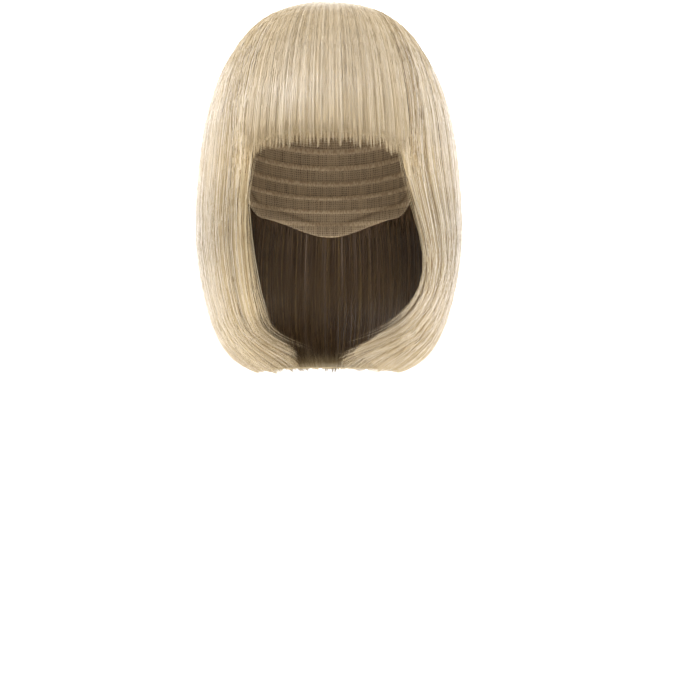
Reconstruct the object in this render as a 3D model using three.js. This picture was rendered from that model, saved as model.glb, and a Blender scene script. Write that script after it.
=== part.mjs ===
// Short bob wig with a full straight fringe, in the form it has when it is worn.
// A thin stretch cap fits the head. Five fields of hair are sewn to it: the crown, the fringe,
// the two sides and the back. Each field is a hollow wall of hair laid in locks that end in points.
// Millimetres, +Z up. The face looks along -Y, and +X is the wearer's left.
// The origin is where the crown of the head meets the inside of the cap.

import * as THREE from 'three';

// Driving dimensions
const CAP_WALL = 1.6; // stretch net with its wefts
const CAP_BINDING = 1.2; // extra thickness of the bound edge of the cap
const SEAT_GAP = 0.8; // between the cap and the hair that is sewn to it
const FIELD_GAP = 0.5; // between neighbouring fields of hair
const LOCK_GROOVE = 1.7; // depth of the groove between two locks
const LOCK_STRAY = 0.2; // how far the border between two locks strays, in lock widths
const LOCK_TRIM = 0.6; // the most that a lock is shorter than its hem, as a share of the notch beside it
const THINNEST_WALL = 1.5; // what a groove always leaves of the hair
const FREE_EDGE_WALL = 4.5; // thickness of the hair along the face
const FREE_EDGE_ROUND = 0.3; // share of a side's width over which it thins towards the face
const FACE_AZIMUTH = 34; // degrees from straight ahead to the ends of the fringe
const SIDE_AZIMUTH = 106; // degrees from straight ahead to where the sides meet the back
const CROWN_RING = 1; // the crown field ends at this ring
const CROWN_GAP = 0.03; // between the crown and the fields round it, in rings

// Rings of the hair's outer surface, from the whorl down to the tips. Every ring is a leaning ellipse:
// its front and back points in the middle plane, and its half width. The wall columns are the
// thickness of the hair at the front, side and back. The last two columns are the azimuth, in degrees, of
// the edge along the face on the wearer's right and left.
const RING_COLUMNS = [
  'yFront', 'zFront', 'yBack', 'zBack', 'half', 'wallFront', 'wallSide', 'wallBack', 'edgeRight', 'edgeLeft',
];
const RING_ROWS = {
  whorl: [32, 10.5, 32, 10.5, 0, 12, 12, 12, 34, 34],
  spiral: [10, 14.5, 54, 2.5, 24, 12, 12, 12, 34, 34],
  crown: [-18, 14, 76, -13.5, 49, 12, 12, 12, 34, 34],
  top: [-48, 5.5, 93, -38, 68.5, 12, 12, 13, 34, 34],
  temple: [-76, -17, 105, -66, 84.5, 12, 13, 15, 34, 34],
  forehead: [-93, -45, 111, -95, 94.5, 11, 16, 18, 34, 34],
  lash: [-101, -74, 114, -122, 100, 7.5, 19, 22, 34, 34],
  brow: [-104.5, -104, 115, -146, 103, 4, 21, 27, 34.5, 34.5],
  ear: [-103, -134, 114.5, -168, 105, 6, 21, 28, 38.5, 42],
  cheek: [-101, -163, 113, -190, 105, 8, 19, 25, 39, 51],
  jaw: [-97, -191, 109, -211, 102, 9, 17, 21, 39, 56],
  collar: [-92, -217, 102, -231, 97, 9, 14, 17, 38, 50],
  curl: [-84, -241, 91, -251.5, 90, 8, 11, 13, 33, 30],
  turn: [-71, -260.5, 76, -269, 78.5, 6.5, 8, 9, 8, -10],
  tip: [-56, -272.5, 59, -280.5, 60.5, 4.5, 5, 5.5, 0, -20],
  end: [-43, -278, 44, -285, 43, 3, 3, 3, 0, -20],
};

// How far down the rings each field reaches, by azimuth from straight ahead
const FRINGE_HEM = [
  { azimuth: 0, ring: 6.79 },
  { azimuth: 22, ring: 6.81 },
  { azimuth: 34, ring: 6.96 },
];
const HAIR_HEM = [
  { azimuth: 34, ring: 12.55 },
  { azimuth: 48, ring: 13.5 },
  { azimuth: 62, ring: 14.3 },
  { azimuth: 110, ring: 14.5 },
  { azimuth: 180, ring: 14.5 },
];
const CAP_HEM = [
  { azimuth: 0, ring: 4.1 },
  { azimuth: 35, ring: 4.7 },
  { azimuth: 52, ring: 6.5 },
  { azimuth: 66, ring: 7.3 },
  { azimuth: 84, ring: 6.5 },
  { azimuth: 105, ring: 6.4 },
  { azimuth: 135, ring: 7.6 },
  { azimuth: 180, ring: 8.2 },
];

// The fields of hair. rows and locks set how finely each one is laid, and notch is how far the groove
// between two locks runs up from the hem, in rings.
const FIELDS = [
  { name: 'fringe', rows: 12, locks: 15, notch: 0.16, hem: FRINGE_HEM },
  { name: 'side_hair_left', rows: 20, locks: 7, notch: 0.5, hem: HAIR_HEM },
  { name: 'back_hair', rows: 18, locks: 13, notch: 0.5, hem: HAIR_HEM },
  { name: 'side_hair_right', rows: 20, locks: 7, notch: 0.5, hem: HAIR_HEM },
];

const rings = Object.values(RING_ROWS).map(
  (row) => Object.fromEntries(RING_COLUMNS.map((name, i) => [name, row[i]])),
);
const ringNamed = Object.fromEntries(Object.keys(RING_ROWS).map((name, i) => [name, i]));

// A smooth value of one ring column at a place between the rings
function ringValue(column, place) {
  const last = rings.length - 1;
  const i = THREE.MathUtils.clamp(Math.floor(place), 0, last - 1);
  const t = place - i;
  const [a, b, c, d] = [i - 1, i, i + 1, i + 2].map(
    (k) => rings[THREE.MathUtils.clamp(k, 0, last)][column],
  );
  const [slopeIn, slopeOut] = [(c - a) / 2, (d - b) / 2];
  return b + t * (slopeIn + t * (3 * (c - b) - 2 * slopeIn - slopeOut + t * (2 * (b - c) + slopeIn + slopeOut)));
}

// A point on the hair's outer surface
function surfacePoint(place, azimuth) {
  const a = THREE.MathUtils.degToRad(azimuth);
  const share = (1 + Math.cos(a)) / 2;
  return new THREE.Vector3(
    ringValue('half', place) * Math.sin(a),
    THREE.MathUtils.lerp(ringValue('yBack', place), ringValue('yFront', place), share),
    THREE.MathUtils.lerp(ringValue('zBack', place), ringValue('zFront', place), share),
  );
}

// The outward normal of that surface, from points a little way off
function surfaceNormal(place, azimuth) {
  const step = 0.02;
  const degrees = 0.5;
  const safe = Math.max(place, 2 * step);
  const down = surfacePoint(safe + step, azimuth).sub(surfacePoint(safe - step, azimuth));
  const round = surfacePoint(safe, azimuth + degrees).sub(surfacePoint(safe, azimuth - degrees));
  return down.cross(round).normalize();
}

// A point that lies under the outer surface
function pointUnder(place, azimuth, depth) {
  return surfacePoint(place, azimuth).addScaledVector(surfaceNormal(place, azimuth), -depth);
}

// Thickness of the hair between the outer surface and the cap
function wallAt(place, azimuth) {
  const c = Math.cos(THREE.MathUtils.degToRad(azimuth));
  const ahead = ringValue(c > 0 ? 'wallFront' : 'wallBack', place);
  return ahead * c * c + ringValue('wallSide', place) * (1 - c * c);
}

// The ring that a hem reaches at an azimuth, the same on the left and on the right
function hemRing(hem, azimuth) {
  const a = Math.abs(azimuth > 180 ? 360 - azimuth : azimuth);
  const next = hem.findIndex((row) => row.azimuth > a);
  if (next === 0) return hem[0].ring;
  if (next < 0) return hem[hem.length - 1].ring;
  const [from, to] = [hem[next - 1], hem[next]];
  const t = (a - from.azimuth) / (to.azimuth - from.azimuth);
  return THREE.MathUtils.lerp(from.ring, to.ring, THREE.MathUtils.smoothstep(t, 0, 1));
}

// Joins an outer and an inner sheet of points, given as rows of equal length, into one closed solid
function shellGeometry(outer, inner) {
  const rows = outer.length;
  const columns = outer[0].length;
  const positions = [...outer.flat(), ...inner.flat()].flatMap((p) => [p.x, p.y, p.z]);
  const out = (j, i) => j * columns + i;
  const inn = (j, i) => (rows + j) * columns + i;
  const index = [];
  const quad = (a, b, c, d) => index.push(a, b, c, a, c, d);
  for (let j = 0; j + 1 < rows; j += 1) {
    for (let i = 0; i + 1 < columns; i += 1) {
      quad(out(j, i), out(j + 1, i), out(j + 1, i + 1), out(j, i + 1));
      quad(inn(j, i), inn(j, i + 1), inn(j + 1, i + 1), inn(j + 1, i));
    }
    quad(out(j, 0), inn(j, 0), inn(j + 1, 0), out(j + 1, 0));
    quad(out(j, columns - 1), out(j + 1, columns - 1), inn(j + 1, columns - 1), inn(j, columns - 1));
  }
  for (let i = 0; i + 1 < columns; i += 1) {
    quad(out(0, i), out(0, i + 1), inn(0, i + 1), inn(0, i));
    quad(out(rows - 1, i), inn(rows - 1, i), inn(rows - 1, i + 1), out(rows - 1, i + 1));
  }
  return finished(positions, index);
}

// Joins two sheets that run all the way round and close at a pole into one closed solid
function domeGeometry(outerPole, outer, innerPole, inner) {
  const rows = outer.length;
  const columns = outer[0].length;
  const positions = [outerPole, innerPole, ...outer.flat(), ...inner.flat()].flatMap((p) => [p.x, p.y, p.z]);
  const out = (j, i) => 2 + j * columns + (i % columns);
  const inn = (j, i) => 2 + (rows + j) * columns + (i % columns);
  const index = [];
  const quad = (a, b, c, d) => index.push(a, b, c, a, c, d);
  for (let i = 0; i < columns; i += 1) {
    index.push(0, out(0, i), out(0, i + 1), 1, inn(0, i + 1), inn(0, i));
    for (let j = 0; j + 1 < rows; j += 1) {
      quad(out(j, i), out(j + 1, i), out(j + 1, i + 1), out(j, i + 1));
      quad(inn(j, i), inn(j, i + 1), inn(j + 1, i + 1), inn(j + 1, i));
    }
    quad(out(rows - 1, i), inn(rows - 1, i), inn(rows - 1, i + 1), out(rows - 1, i + 1));
  }
  return finished(positions, index);
}

function finished(positions, index) {
  const geometry = new THREE.BufferGeometry();
  geometry.setAttribute('position', new THREE.Float32BufferAttribute(positions, 3));
  geometry.setIndex(index);
  geometry.computeVertexNormals();
  return geometry;
}

// A share from 0 to 1 that differs from lock to lock in no regular way
function lockShare(lock) {
  const stride = 2.7;
  return 0.5 + 0.5 * Math.sin(stride * lock + 1);
}

// The columns of a field: three to a lock, at its groove and on its two shoulders. The locks differ
// a little in width. ridge is 0 in a groove and 1 on a shoulder.
function lockColumns(locks) {
  const stray = (k) => (k > 0 && k < locks ? LOCK_STRAY * (2 * lockShare(k) - 1) : 0);
  const border = (k) => (k + stray(k)) / locks;
  const columns = [];
  for (let k = 0; k < locks; k += 1) {
    [0, 1 / 3, 2 / 3].forEach((s) => {
      columns.push({ across: THREE.MathUtils.lerp(border(k), border(k + 1), s), ridge: s > 0 ? 1 : 0, lock: k });
    });
  }
  columns.push({ across: 1, ridge: 0, lock: locks - 1 });
  return columns;
}

// The azimuth of a place in a field. across runs from the field's first edge to its last,
// from the wearer's left round the back to the right. The sides sweep forward with the edge along the face.
function fieldAzimuth(name, across, place) {
  const halfGap = THREE.MathUtils.radToDeg(FIELD_GAP / 2 / ringValue('half', place));
  const spread = (from, to) => THREE.MathUtils.lerp(from + halfGap, to - halfGap, across);
  if (name === 'fringe') return spread(-FACE_AZIMUTH, FACE_AZIMUTH);
  if (name === 'back_hair') return spread(SIDE_AZIMUTH, 360 - SIDE_AZIMUTH);
  const left = name === 'side_hair_left';
  const fromFace = left ? across : 1 - across;
  const sweep = (ringValue(left ? 'edgeLeft' : 'edgeRight', place) - FACE_AZIMUTH) * (1 - fromFace) ** 2;
  if (left) return spread(FACE_AZIMUTH, SIDE_AZIMUTH) + sweep;
  return spread(360 - SIDE_AZIMUTH, 360 - FACE_AZIMUTH) - sweep;
}

// How much a side thins towards the face, from 0 to 1: only below the fringe, and only near its free edge
function faceThinning(name, across, place) {
  if (!name.startsWith('side')) return 0;
  const fromFace = name === 'side_hair_left' ? across : 1 - across;
  const near = Math.max(0, 1 - fromFace / FREE_EDGE_ROUND);
  return near ** 2 * THREE.MathUtils.smoothstep(place, ringNamed.lash, ringNamed.ear);
}

// One field of hair as a wall of locks
function fieldGeometry({ name, rows, locks, notch, hem }) {
  const columns = lockColumns(locks);
  const top = CROWN_RING + CROWN_GAP / 2;
  const outer = [];
  const inner = [];
  for (let j = 0; j <= rows; j += 1) {
    const laid = columns.map(({ across, ridge, lock }) => {
      const hemAzimuth = fieldAzimuth(name, across, ringNamed.brow);
      const bottom = hemRing(hem, hemAzimuth) - notch * (ridge ? LOCK_TRIM * lockShare(lock) : 1);
      const place = THREE.MathUtils.lerp(top, bottom, j / rows);
      const azimuth = fieldAzimuth(name, across, place);
      const wall = wallAt(place, azimuth);
      const thin = faceThinning(name, across, place) * Math.max(0, wall - FREE_EDGE_WALL);
      const groove = LOCK_GROOVE * (1 - ridge) * THREE.MathUtils.smoothstep(place, CROWN_RING, ringNamed.temple);
      const depth = Math.min(thin + groove, wall - THINNEST_WALL);
      return { outside: pointUnder(place, azimuth, depth), inside: pointUnder(place, azimuth, wall) };
    });
    outer.push(laid.map((p) => p.outside));
    inner.push(laid.map((p) => p.inside));
  }
  return shellGeometry(outer, inner);
}

// The crown: a small dome of hair round the whorl, where all the locks start
function crownGeometry() {
  const columns = 32;
  const rows = 3;
  const edge = CROWN_RING - CROWN_GAP / 2;
  const round = Array.from({ length: columns }, (_, i) => (360 * i) / columns);
  const outer = [];
  const inner = [];
  for (let j = 1; j <= rows; j += 1) {
    const place = (edge * j) / rows;
    outer.push(round.map((azimuth) => pointUnder(place, azimuth, 0)));
    inner.push(round.map((azimuth) => pointUnder(place, azimuth, wallAt(place, azimuth))));
  }
  return domeGeometry(pointUnder(0, 0, 0), outer, pointUnder(0, 0, wallAt(0, 0)), inner);
}

// The cap: a thin dome under the hair with a bound edge that runs over the forehead, in front of the ears,
// above them and down to the nape
function capGeometry() {
  const columns = 40;
  const rows = 11;
  const boundRows = 2;
  const outer = [];
  const inner = [];
  for (let j = 0; j < rows; j += 1) {
    const share = (j + 1) / rows;
    const binding = j >= rows - boundRows ? CAP_BINDING : 0;
    const laid = Array.from({ length: columns }, (_, i) => {
      const azimuth = (360 * i) / columns;
      const place = hemRing(CAP_HEM, azimuth) * share;
      const under = wallAt(place, azimuth) + SEAT_GAP;
      return [pointUnder(place, azimuth, under), pointUnder(place, azimuth, under + CAP_WALL + binding)];
    });
    outer.push(laid.map(([outside]) => outside));
    inner.push(laid.map(([, inside]) => inside));
  }
  const under = wallAt(0, 0) + SEAT_GAP;
  return domeGeometry(pointUnder(0, 0, under), outer, pointUnder(0, 0, under + CAP_WALL), inner);
}

const hairMaterial = new THREE.MeshStandardMaterial({ color: 0xcdbb93, roughness: 0.45, metalness: 0 });
const capMaterial = new THREE.MeshStandardMaterial({ color: 0xb9a27c, roughness: 0.85, metalness: 0 });

function namedMesh(name, geometry, material) {
  const mesh = new THREE.Mesh(geometry, material);
  mesh.name = name;
  return mesh;
}

const wig = new THREE.Group();
wig.add(namedMesh('cap', capGeometry(), capMaterial));
wig.add(namedMesh('crown', crownGeometry(), hairMaterial));
FIELDS.forEach((field) => wig.add(namedMesh(field.name, fieldGeometry(field), hairMaterial)));

export default wig;
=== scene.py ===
"""The looks of a short bob wig with a full straight fringe, in the form it has when it is worn.

Each field of hair is a thin body under many fine tapered strands, all laid along one surface of leaning
rings. The cap inside is a dome of net with rows of weft tape and a bound edge. The tables are in
millimetres and the meshes in metres, in the frame of the CAD part: +Z up, the face along -Y, +X the
wearer's left.
"""
import math
from dataclasses import dataclass

import bpy
import numpy as np
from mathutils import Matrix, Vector


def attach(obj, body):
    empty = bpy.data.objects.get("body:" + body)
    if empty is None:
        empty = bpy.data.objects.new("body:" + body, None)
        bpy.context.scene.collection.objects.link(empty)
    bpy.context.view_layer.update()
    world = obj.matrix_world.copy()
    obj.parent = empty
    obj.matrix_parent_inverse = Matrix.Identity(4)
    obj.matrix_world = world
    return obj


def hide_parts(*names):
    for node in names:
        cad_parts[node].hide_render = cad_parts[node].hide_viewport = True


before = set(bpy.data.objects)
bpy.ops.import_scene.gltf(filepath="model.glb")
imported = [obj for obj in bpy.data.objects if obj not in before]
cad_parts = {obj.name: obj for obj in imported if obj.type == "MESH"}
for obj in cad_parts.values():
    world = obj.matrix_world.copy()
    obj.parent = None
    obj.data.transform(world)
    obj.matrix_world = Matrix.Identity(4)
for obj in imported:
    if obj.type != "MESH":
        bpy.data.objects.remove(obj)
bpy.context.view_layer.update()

MM = 0.001
SEED = 11

# Driving dimensions, as in the CAD part, in millimetres and degrees
CAP_WALL = 1.6  # stretch net with its wefts
CAP_BINDING = 1.2  # extra thickness of the bound edge of the cap
SEAT_GAP = 0.8  # between the cap and the hair that is sewn to it
FREE_EDGE_WALL = 4.5  # thickness of the hair along the face
FREE_EDGE_ROUND = 0.3  # share of a side's width over which it thins towards the face
FACE_AZIMUTH = 34.0  # from straight ahead to the ends of the fringe
SIDE_AZIMUTH = 106.0  # from straight ahead to where the sides meet the back
LOCK_STRAY = 0.2  # how far the border between two locks strays, in lock widths
LOCK_TRIM = 0.6  # the most that a lock is shorter than its hem, as a share of the notch beside it

# Rings of the hair's outer surface, from the whorl down to the tips, as in the CAD part
RING_COLUMNS = (
    "yFront", "zFront", "yBack", "zBack", "half",
    "wallFront", "wallSide", "wallBack", "edgeRight", "edgeLeft",
)
RING_ROWS = {
    "whorl": (32, 10.5, 32, 10.5, 0, 12, 12, 12, 34, 34),
    "spiral": (10, 14.5, 54, 2.5, 24, 12, 12, 12, 34, 34),
    "crown": (-18, 14, 76, -13.5, 49, 12, 12, 12, 34, 34),
    "top": (-48, 5.5, 93, -38, 68.5, 12, 12, 13, 34, 34),
    "temple": (-76, -17, 105, -66, 84.5, 12, 13, 15, 34, 34),
    "forehead": (-93, -45, 111, -95, 94.5, 11, 16, 18, 34, 34),
    "lash": (-101, -74, 114, -122, 100, 7.5, 19, 22, 34, 34),
    "brow": (-104.5, -104, 115, -146, 103, 4, 21, 27, 34.5, 34.5),
    "ear": (-103, -134, 114.5, -168, 105, 6, 21, 28, 38.5, 42),
    "cheek": (-101, -163, 113, -190, 105, 8, 19, 25, 39, 51),
    "jaw": (-97, -191, 109, -211, 102, 9, 17, 21, 39, 56),
    "collar": (-92, -217, 102, -231, 97, 9, 14, 17, 38, 50),
    "curl": (-84, -241, 91, -251.5, 90, 8, 11, 13, 33, 30),
    "turn": (-71, -260.5, 76, -269, 78.5, 6.5, 8, 9, 8, -10),
    "tip": (-56, -272.5, 59, -280.5, 60.5, 4.5, 5, 5.5, 0, -20),
    "end": (-43, -278, 44, -285, 43, 3, 3, 3, 0, -20),
}
RINGS = np.array(list(RING_ROWS.values()), float)
RING = {name: i for i, name in enumerate(RING_ROWS)}

# How far down the rings each edge reaches, as in the CAD part: azimuth from straight ahead, ring
FRINGE_HEM = ((0, 6.79), (22, 6.81), (34, 6.96))
HAIR_HEM = ((34, 12.55), (48, 13.5), (62, 14.3), (110, 14.5), (180, 14.5))
CAP_HEM = (
    (0, 4.1), (35, 4.7), (52, 6.5), (66, 7.3), (84, 6.5), (105, 6.4), (135, 7.6), (180, 8.2),
)


@dataclass
class Field:
    """One field of hair. Lengths along the hair are in rings, and the other sizes in mm."""

    node: str
    hem: tuple
    width: float  # arc at the brow
    locks: int  # broad locks, as in the CAD part
    groove: float  # how far a lock's edges lie under its middle
    notch: float  # how far a lock's edges end above its tip
    sway: float  # how far a lock strays to the side
    clumps: int  # small clumps, whose strands come together at their tips
    ragged: float  # how far the lengths of the clumps differ
    body_short: float  # how far the body under the strands ends above the hem
    face_short: float = 0.0  # how far the hair along the face ends above the hem
    turned: float = 0.0  # how far the turned tips next to that reach past the hem


SIDE = dict(
    hem=HAIR_HEM, width=130.0, locks=7, groove=0.45, notch=0.3, sway=0.8,
    clumps=40, ragged=0.3, body_short=0.5,
)
# The hair along the face is a little longer on the right than on the left
FACE_SHORT_LEFT = 0.2
FACE_SHORT_RIGHT = -0.15
TURNED_LEFT = 0.3
TURNED_RIGHT = 0.45
FIELDS = {
    "fringe": Field(
        "fringe", FRINGE_HEM, width=120.0, locks=15, groove=0.14, notch=0.06, sway=0.3,
        clumps=46, ragged=0.16, body_short=0.3,
    ),
    "left": Field("side_hair_left", face_short=FACE_SHORT_LEFT, turned=TURNED_LEFT, **SIDE),
    "right": Field("side_hair_right", face_short=FACE_SHORT_RIGHT, turned=TURNED_RIGHT, **SIDE),
    "back": Field(
        "back_hair", HAIR_HEM, width=270.0, locks=13, groove=0.5, notch=0.3, sway=0.8,
        clumps=84, ragged=0.3, body_short=0.35,
    ),
}


@dataclass
class Batch:
    """Strands that are laid alike.

    Pairs are ranges: across in shares of a field, root and trim in rings.
    """

    count: int
    segments: int
    root: tuple
    depth: tuple  # mm under the outer surface, or from the inner one
    across: tuple = (0.0, 1.0)
    skew: float = 1.0  # below 1, more of the strands lie near the end of that range
    trim: tuple = (0.0, 0.12)
    width: tuple = (0.32, 0.62)  # mm
    stray: float = 0.8  # mm that a tip strays from its place
    gather: float = 0.65  # how far the strands of a clump come together
    gather_from: float = 0.84  # share of the length where they begin to
    taper_from: float = 0.76  # share of the length where a strand begins to thin out
    sweep: float = 0.0  # share of the field that a tip may be carried across
    shade: float = 0.0  # how much darker the strands are painted, in tones: painted shade, or below 0 a painted sheen
    spread: float = 1.0  # of the usual differences between their tones
    inside: bool = False


# The surface that the hair is laid on

SHORTEST = 1e-9  # a vector is never divided by less than this
LAST_STRANDS = 1.8  # mm of hair at the very edge along the face
WHORL_TURN = 75.0  # degrees that the hair turns at the middle of the whorl
WHORL_REACH = 0.55  # rings over which that turn dies away


def smooth(t):
    """A smooth rise from 0 to 1."""
    t = np.clip(t, 0.0, 1.0)
    return t * t * (3.0 - 2.0 * t)


def rise(value, span):
    """A smooth rise from 0 to 1 over a span of the value."""
    return smooth((value - span[0]) / (span[1] - span[0]))


def between(low, high, t):
    return low + (high - low) * t


def ring_value(column, place):
    """A smooth value of one ring column at a place between the rings."""
    last = len(RINGS) - 1
    i = np.clip(np.floor(place).astype(int), 0, last - 1)
    t = place - i
    values = RINGS[:, RING_COLUMNS.index(column)]
    a, b, c, d = (values[np.clip(i + k, 0, last)] for k in (-1, 0, 1, 2))
    slope_in = (c - a) / 2
    slope_out = (d - b) / 2
    square = 3 * (c - b) - 2 * slope_in - slope_out
    cube = 2 * (b - c) + slope_in + slope_out
    return b + t * (slope_in + t * (square + t * cube))


def surface_point(place, azimuth):
    """Points of the hair's outer surface, in mm."""
    a = np.radians(azimuth)
    share = (1 + np.cos(a)) / 2
    x = ring_value("half", place) * np.sin(a)
    y = between(ring_value("yBack", place), ring_value("yFront", place), share)
    z = between(ring_value("zBack", place), ring_value("zFront", place), share)
    return np.stack([x, y, z], -1)


def unit(vectors):
    return vectors / np.maximum(np.linalg.norm(vectors, axis=-1, keepdims=True), SHORTEST)


def surface_normal(place, azimuth):
    """The outward direction of the surface."""
    step = 0.02
    degrees = 0.5
    safe = np.maximum(place, 2 * step)
    down = surface_point(safe + step, azimuth) - surface_point(safe - step, azimuth)
    around = surface_point(safe, azimuth + degrees) - surface_point(safe, azimuth - degrees)
    return unit(np.cross(down, around))


def wall_at(place, azimuth):
    """Thickness of the hair between its outer surface and the cap."""
    c = np.cos(np.radians(azimuth))
    ahead = np.where(c > 0, ring_value("wallFront", place), ring_value("wallBack", place))
    return ahead * c * c + ring_value("wallSide", place) * (1 - c * c)


def hem_ring(hem, azimuth):
    """The ring that a hem reaches, the same on the left and on the right."""
    a = np.abs((azimuth + 180.0) % 360.0 - 180.0)
    angles, rings = np.array(hem, float).T
    i = np.clip(np.searchsorted(angles, a, side="right") - 1, 0, len(angles) - 2)
    t = (a - angles[i]) / (angles[i + 1] - angles[i])
    return between(rings[i], rings[i + 1], smooth(t))


def is_side(name):
    return name in ("left", "right")


def field_azimuth(name, across, place):
    """Azimuth of a place in a field. On the sides, across runs from the face to the back."""
    if name == "fringe":
        return FACE_AZIMUTH * (2 * across - 1)
    if name == "back":
        return between(SIDE_AZIMUTH, 360 - SIDE_AZIMUTH, across)
    edge = ring_value("edgeLeft" if name == "left" else "edgeRight", place)
    azimuth = between(FACE_AZIMUTH, SIDE_AZIMUTH, across) + (edge - FACE_AZIMUTH) * (1 - across) ** 2
    return azimuth if name == "left" else -azimuth


def face_nearness(name, across, place):
    """How near the edge along the face a place is, from 0 to 1.

    Only the sides have such an edge, and only below the fringe.
    """
    if not is_side(name):
        return np.zeros_like(place)
    near = np.maximum(0.0, 1 - np.maximum(across, 0.0) / FREE_EDGE_ROUND)
    return near ** 2 * rise(place, (RING["lash"], RING["ear"]))


def outer_depth(nearness, wall):
    """How far the hair's outer surface lies under the rings, in mm."""
    return nearness * np.maximum(0.0, wall - FREE_EDGE_WALL)


def inner_depth(nearness, wall):
    """How far the hair's inner surface lies under the rings, in mm.

    The last strands along the face are a thin layer.
    """
    return wall - nearness * (FREE_EDGE_WALL - LAST_STRANDS)


def whorl_turn(place):
    """How far the hair turns round the whorl, in degrees."""
    return WHORL_TURN * np.exp(-place / WHORL_REACH)


# Strands, laid along the surface

STREAK_WAVES = 6
STREAK_LENGTHS = (3.0, 14.0)  # mm from one wave to the next, across a field
STREAK_DRIFT = 0.6  # waves that the streaks may drift along the hair
STREAK_RELIEF = 0.11  # mm
STREAK_TONE = 0.06
LOCK_WAVES = (0.3, 0.7)  # along a lock
SWAY_SHARE = 0.5  # of the length over which a lock begins to stray
NOTCH_POWER = 4  # how steeply the notches between locks rise
CLUMP_STRAY = 0.35  # of a clump's width that its border strays
EVENING = 0.35  # how much closer together the points of a strand lie at its ends
STRAND_WAVES = (0.2, 0.6)  # along a strand
WAVE_POWER = 1.5  # how steeply those grow towards the tip
DEPTH_WAVE = 0.2  # mm that they go in and out
DEPTH_POWER = 1.3  # above 1, more strands lie at the near end of a batch's depths
MIDDLE_TONE = 0.5
HALFWAY = 0.5  # along a strand, where it takes the tone of its streak
TONE_LIMITS = (0.02, 0.98)
STRAND_TONE = 0.08
DARK_SHARE = 0.06  # of the strands are darker, by DARK_TONE
DARK_TONE = 0.35
DEPTH_SHADE = 0.06  # painted shade: that a strand is darker for each mm that it lies deeper
INSIDE_SPREAD = 0.5  # of the spread of the tones is left inside the hair
FORWARD_SWEEP = 0.16  # of a side's width that its front strands come forward between temple and cheek
FORWARD_STRANDS = (-0.8, 1.0)  # how much of that each one does; below 0 it doesn't
FACE_RAGGED = 0.4  # of the raggedness of the locks and clumps is left along the face
TURNED_FROM = (0.03, 0.18)  # of a side's width, over which the turned tips begin to reach further
TURNED_TO = (0.22, 0.45)  # and over which they cease to
ROOT_DEPTH = 4.0  # mm under the surface where a strand that starts below the crown comes up
ROOT_SHARE = 0.18  # of its length over which it comes up
BURIED_FROM = RING["spiral"] + 0.2  # ring from which the roots are buried so
INNER_CLEARANCE = 0.3  # mm that the outer strands stay clear of the inner surface


def lock_share(lock):
    """A share from 0 to 1 that differs from lock to lock in no regular way, as in the CAD part."""
    stride = 2.7
    return 0.5 + 0.5 * np.sin(stride * lock + 1)


def lock_layout(name):
    """The borders of a field's locks, and how much shorter each lock is, as in the CAD part."""
    locks = FIELDS[name].locks
    k = np.arange(locks + 1)
    stray = LOCK_STRAY * (2 * lock_share(k) - 1) * (k > 0) * (k < locks)
    borders = (k + stray) / locks
    trims = LOCK_TRIM * lock_share(k[:-1])
    if name == "right":
        return 1 - borders[::-1], trims[::-1]
    return borders, trims


class Streaks:
    """Slow waves across and along a field, which neighbouring strands share."""

    def __init__(self, rng, width):
        self.across = width / rng.uniform(*STREAK_LENGTHS, STREAK_WAVES)
        self.along = rng.uniform(-STREAK_DRIFT, STREAK_DRIFT, STREAK_WAVES)
        self.phase = rng.uniform(0.0, 1.0, STREAK_WAVES)

    def at(self, start, along):
        turns = self.across * start[..., None] + self.along * along[..., None] + self.phase
        return np.sin(math.tau * turns).sum(-1) * math.sqrt(2 / STREAK_WAVES)


class Shared:
    """What neighbouring strands of a field have in common: broad locks, small clumps and streaks."""

    def __init__(self, name):
        field = FIELDS[name]
        rng = np.random.default_rng(SEED + sum(map(ord, field.node)))
        self.lock_edges, self.lock_trim = lock_layout(name)
        self.lock_speed = rng.uniform(*LOCK_WAVES, field.locks)
        self.lock_phase = rng.uniform(0.0, 1.0, field.locks)
        stray = rng.uniform(-CLUMP_STRAY, CLUMP_STRAY, field.clumps + 1)
        self.clump_edges = (np.arange(field.clumps + 1) + stray) / field.clumps
        self.clump_trim = rng.uniform(0.0, 1.0, field.clumps)
        self.relief = Streaks(rng, field.width)
        self.tone = Streaks(rng, field.width)

    def lock(self, start):
        """The lock at each start, and the place in it from -1 to 1."""
        lock = np.clip(np.searchsorted(self.lock_edges, start) - 1, 0, len(self.lock_trim) - 1)
        low, high = self.lock_edges[lock], self.lock_edges[lock + 1]
        return lock, np.clip(2 * (start - low) / (high - low) - 1, -1.0, 1.0)

    def clump(self, start):
        """The clump at each start, and its middle."""
        clump = np.clip(np.searchsorted(self.clump_edges, start) - 1, 0, len(self.clump_trim) - 1)
        return clump, (self.clump_edges[clump] + self.clump_edges[clump + 1]) / 2


def evened(t):
    """Shares from 0 to 1 that lie closer together at both ends, where the hair bends most."""
    return t - EVENING * np.sin(math.tau * t) / math.tau


def waves(rng, count, along):
    """A slow random sway for each strand, from none at the root to 1 either way at the tip."""
    speed = rng.uniform(*STRAND_WAVES, (count, 1))
    phase = rng.uniform(0.0, 1.0, (count, 1))
    return np.sin(math.tau * (speed * along + phase)) * along ** WAVE_POWER


def stratified(rng, count, low, high, skew=1.0):
    """Random values in a range, one from each of count even steps. Below 1, skew moves them up."""
    shares = (np.arange(count) + rng.uniform(0.0, 1.0, count)) / count
    return between(low, high, rng.permutation(shares) ** skew)


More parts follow.
